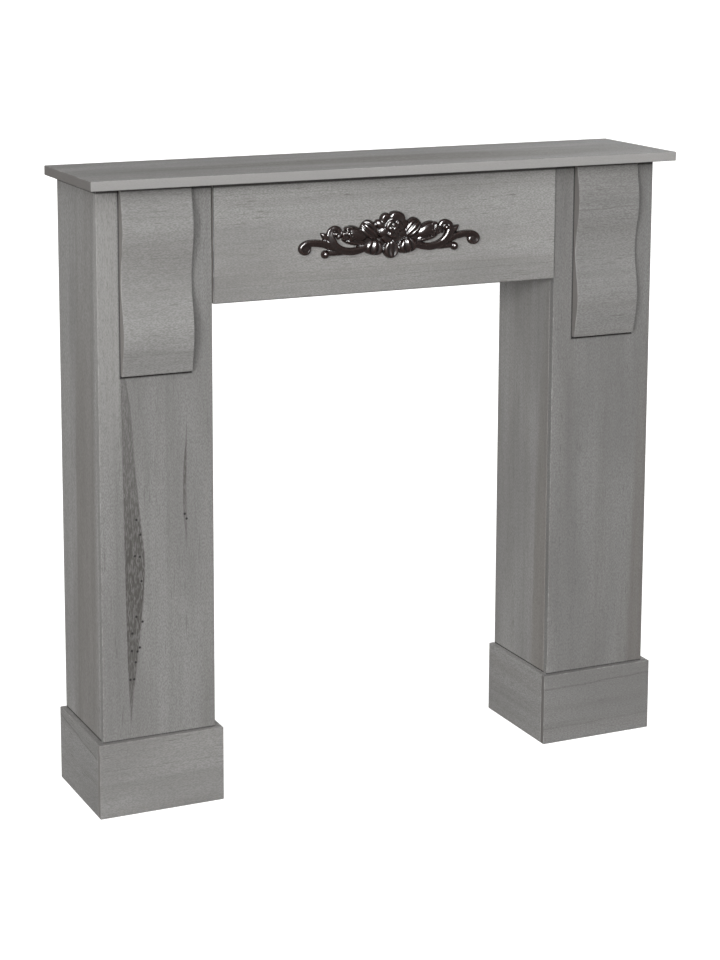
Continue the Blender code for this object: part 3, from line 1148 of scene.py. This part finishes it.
@dataclass
class Leg:
    """A column with its plinth and corbel, each board with its own tone and marks.

    Shade is painted round the corbel, with a painted shadow below it, and along the plinth's top edge: its
    reach is how far down it goes, and its depth how far into the board.
    """

    side: str
    seed: int
    front_tone: float
    corbel_tone: float
    plinth_tone: float
    outer_tone: float = 0.80
    side_tone: float = 0.96
    plinth_side_tone: float = 0.84
    front_marks: tuple[Mark, ...] = ()
    outer_marks: tuple[Mark, ...] = ()
    inner_marks: tuple[Mark, ...] = ()
    corbel_marks: tuple[Mark, ...] = ()
    plinth_front_marks: tuple[Mark, ...] = ()
    plinth_side_marks: tuple[Mark, ...] = ()
    # Painted shadow under the shelf, on the corbel's top.
    shadow_on_corbel_top: PaintedJointShade = PaintedJointShade(-BEYOND, BEYOND, 980, 1000, width=2.5)
    shade_reach: float = 3.0
    shade_depth: float = 1.0
    side_play: float = 0.5

    def _corbel_shade(self) -> PaintedJointShade:
        """Give the painted shade round the corbel, on the column's front, and its painted shadow below it."""
        low, high = (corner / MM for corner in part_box(f"{self.side}_corbel"))
        return PaintedJointShade(low.x, high.x, low.z - self.shade_reach, high.z, back=high.y + self.shade_depth,
                          width=2.8, strength=1.0)

    def _foot_shade(self, board: str, facing: int) -> PaintedJointShade:
        """Give the painted shade along the plinth's top edge, on the face of a board that the plinth covers.

        Args:
            board: The board's node.
            facing: The way that face looks along X, or 0 for the front.

        Returns:
            The stain.
        """
        low, high = (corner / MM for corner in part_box(board))
        plinth_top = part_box(f"{self.side}_plinth_front")[1].z / MM
        return PaintedJointShade(high.x - self.shade_depth if facing > 0 else low.x,
                          low.x + self.shade_depth if facing < 0 else high.x,
                          plinth_top - self.shade_reach, plinth_top,
                          back=high.y if facing else low.y + self.shade_depth, width=2.2, strength=0.9)

    def build(self, timber: StainedTimber) -> None:
        """Make the leg's boards.

        Args:
            timber: The finish.
        """
        outward = -1 if self.side == "left" else 1
        column = (
            ("front", self.front_tone, self.front_marks, (self._corbel_shade(),), 0),
            ("outer_side", self.outer_tone, self.outer_marks, (), outward),
            ("inner_side", self.side_tone, self.inner_marks, (), -outward),
        )
        plinth = (
            ("front", Grain.ALONG_X, self.plinth_tone, self.plinth_front_marks),
            ("outer_side", Grain.ALONG_Y, self.plinth_side_tone, self.plinth_side_marks),
            ("inner_side", Grain.ALONG_Y, self.side_tone, ()),
        )
        for seed, (part, tone, marks, joints, facing) in enumerate(column, self.seed):
            node = f"{self.side}_column_{part}"
            # Painted shadow under the shelf, and painted shade along the plinth's top edge and round the
            # corbel.
            marks = (*marks, SHADOW_UNDER_SHELF, self._foot_shade(node, facing), *joints)
            play = (0.0, self.side_play if facing else 0.0, JOINT_PLAY)
            Board(node, Grain.ALONG_Z, seed, tone, marks, play, rubbed=not facing).build(timber)
        for seed, (part, grain, tone, marks) in enumerate(plinth, self.seed + len(column)):
            Board(f"{self.side}_plinth_{part}", grain, seed, tone, marks).build(timber)
        Corbel(f"{self.side}_corbel", Grain.ALONG_X, self.seed + len(column) + len(plinth), self.corbel_tone,
               (*self.corbel_marks, self.shadow_on_corbel_top), (0.0, 0.0, JOINT_PLAY)).build(timber)


@dataclass(frozen=True)
class Sun:
    """An even light from one side: its strength, where it comes from, and how wide it looks in degrees.

    One that shows in gloss alone stands for a small bright lamp far off.
    """

    name: str
    strength: float
    way: Triple
    angle: float
    only_gloss: bool = False

    def build(self) -> None:
        """Add the light."""
        deselect()
        bpy.ops.object.light_add(type="SUN", location=self.way)
        lamp = bpy.context.object
        lamp.name = self.name
        lamp.data.energy = self.strength
        lamp.data.angle = math.radians(self.angle)
        lamp.rotation_euler = Vector(self.way).to_track_quat("Z", "Y").to_euler()
        lamp.visible_diffuse = not self.only_gloss


@dataclass
class Studio:
    """A plain pale floor, soft light and the camera.

    Its lengths are in metres, apart from the lens, and its turns are in degrees.
    """

    white: str = "#FFFFFF"
    floor_size: float = 600.0
    floor_colour: str = "#7A7A79"
    floor_roughness: float = 0.9
    sky: float = 0.35
    suns: tuple[Sun, ...] = (
        Sun("soft_key_light", 1.40, (-0.73, -0.66, 0.19), 16.0),
        Sun("broad_fill_light", 1.16, (-0.37, -0.92, 0.14), 45.0),
        Sun("soft_top_light", 0.72, (0.0, -0.02, 1.0), 70.0),
        Sun("back_light", 1.5, (0.75, 0.62, 0.20), 40.0),
        Sun("gloss_light", 26.0, (-0.40, -0.75, 0.50), 40.0, only_gloss=True),
    )
    eye: Triple = (-1.5898, -3.3734, 1.4302)
    yaw: float = 25.013
    pitch: float = 9.748
    roll: float = -0.219
    lens: float = 87.94
    shift_up: float = -0.20

    def _floor(self) -> None:
        """Lay the floor, which glows for the camera alone, so it looks white but lights nothing."""
        deselect()
        bpy.ops.mesh.primitive_plane_add(size=self.floor_size)
        floor = bpy.context.object
        floor.name = "studio_floor"
        made, tree, shader = new_material("matt_white_paper")
        shader.inputs["Base Color"].default_value = linear(self.floor_colour)
        shader.inputs["Roughness"].default_value = self.floor_roughness
        shader.inputs["Emission Color"].default_value = linear(self.white)
        seen = add_node(tree, "ShaderNodeLightPath", output="Is Camera Ray")
        tree.links.new(seen, shader.inputs["Emission Strength"])
        floor.data.materials.append(made)

    def _world(self) -> None:
        """Fill the room with even light, and show plain white behind the floor."""
        world = bpy.data.worlds.new("studio")
        bpy.context.scene.world = world
        world.use_nodes = True
        tree = world.node_tree
        seen = add_node(tree, "ShaderNodeLightPath", output="Is Camera Ray")
        light = add_node(tree, "ShaderNodeMapRange", {"Value": seen, "To Min": self.sky})
        tree.links.new(light, tree.nodes["Background"].inputs["Strength"])
        tree.nodes["Background"].inputs["Color"].default_value = linear(self.white)

    def _camera(self) -> None:
        """Set up the camera where the photograph was taken from."""
        yaw, pitch, roll = (math.radians(turn) for turn in (self.yaw, self.pitch, self.roll))
        forward = Vector((math.sin(yaw) * math.cos(pitch), math.cos(yaw) * math.cos(pitch), -math.sin(pitch)))
        across = Vector((math.cos(yaw), -math.sin(yaw), 0))
        up = across.cross(forward)
        right = across * math.cos(roll) - up * math.sin(roll)
        above = right.cross(forward)
        bpy.ops.object.camera_add(location=self.eye)
        camera = bpy.context.object
        camera.rotation_euler = Matrix((right, above, -forward)).transposed().to_euler()
        camera.data.lens = self.lens
        camera.data.shift_y = self.shift_up
        camera.data.clip_end = self.floor_size
        bpy.context.scene.camera = camera

    def build(self) -> None:
        """Set up the whole studio."""
        self._floor()
        self._world()
        for sun in self.suns:
            sun.build()
        self._camera()
        bpy.context.scene.view_settings.view_transform = "Standard"
        LOG.info("studio is set up")


LEFT_VEIN = MineralStreak(
    left=((130, -439), (200, -443), (280, -445), (350, -446), (420, -447), (500, -448), (600, -449),
          (700, -450)),
    right=((130, -438), (170, -436), (220, -430), (260, -425), (310, -419), (370, -414), (400, -413),
           (450, -417), (500, -422), (560, -427), (640, -433), (700, -442)),
    strength=((130, 0.0), (160, 0.6), (230, 0.9), (330, 1.0), (410, 1.0), (480, 0.85), (560, 0.7),
              (700, 0.55)),
    left_blur=0.9, right_blur=2.5, colour="#4B4743")
THIN_VEIN = MineralStreak(
    left=((395, -346), (435, -347.5), (485, -351), (545, -350), (590, -346), (655, -343.5)),
    right=((395, -345), (435, -343.5), (485, -344), (545, -343.5), (590, -342.5), (655, -342.5)),
    strength=((395, 0.2), (435, 0.6), (485, 0.75), (545, 0.9), (590, 0.85), (655, 0.2)),
    right_blur=2.0)
SAPWOOD = MineralStreak(
    left=((0, -489), (1000, -489)),
    right=((0, -440), (200, -440), (350, -444), (500, -447), (700, -450), (1000, -452)),
    strength=((0, 0.0), (480, 0.0), (590, 0.2), (700, 0.4), (1000, 0.6)),
    left_blur=0.5, right_blur=4.0, colour="#B4B2AF")
PIN_HOLES = PinHoles((
    (-427, 470), (-421, 446), (-430, 413), (-422, 411), (-436, 290), (-429, 316), (-419, 307), (-424, 266),
    (-428, 260), (-431, 243), (-437, 262), (-420, 372), (-440, 216), (-434, 216), (-348, 471), (-345, 463)))
LEFT_SIDE_BROWN = MineralStreak(
    left=((0, -62), (1000, -62)),
    right=((0, 61), (300, 49), (600, 43), (1000, 23)),
    strength=((0, 0.15), (300, 0.42), (600, 0.4), (800, 0.2), (1000, 0.05)),
    left_blur=20.0, right_blur=12.0, across="Y", flecked=False, colour="#6B655F")
RIGHT_BROWN = MineralStreak(
    left=((0, 448), (300, 452), (600, 462), (800, 470)),
    right=((0, 500), (800, 500)),
    strength=((0, 0.35), (300, 0.45), (600, 0.25), (800, 0.0)),
    left_blur=14.0, flecked=False, colour="#6F6861")
RIGHT_INNER_BROWN = MineralStreak(
    left=((0, -74), (800, -74)),
    right=((0, -7), (300, -15), (600, -27), (800, -37)),
    strength=RIGHT_BROWN.strength, right_blur=18.0, across="Y", flecked=False, colour="#6F6861")
LEGS = (
    Leg("left", seed=20, front_tone=0.79, corbel_tone=0.95, plinth_tone=0.92, outer_tone=0.92,
        front_marks=(SAPWOOD, LEFT_VEIN, THIN_VEIN, PIN_HOLES), outer_marks=(LEFT_SIDE_BROWN,),
        plinth_front_marks=(GrainLineAndShadeBand(72, -20, "X", -392, strength=0.3),),
        plinth_side_marks=(GrainLineAndShadeBand(98, 75, "Y", 14, wander=5.0, strength=0.7),)),
    Leg("right", seed=40, front_tone=0.67, corbel_tone=0.80, plinth_tone=0.69,
        front_marks=(RIGHT_BROWN,), inner_marks=(RIGHT_INNER_BROWN,),
        corbel_marks=(GrainLineAndShadeBand(907, 25, "X", 392, strength=0.35),
                      GrainLineAndShadeBand(824, 20, "X", 392, strength=0.22)),
        plinth_front_marks=(GrainLineAndShadeBand(94, 20, "X", 392), GrainLineAndShadeBand(24, 10, "X", 392, strength=0.3))),
)


def main() -> None:
    """Dress the whole mantelpiece and set up the studio."""
    logging.basicConfig(level=logging.INFO, format="%(name)s: %(message)s")
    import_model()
    timber = StainedTimber()
    Studio().build()
    Shelf().build(timber)
    Frieze().build(timber, CastResin())
    for leg in LEGS:
        leg.build(timber)


if __name__ == "__main__":
    main()
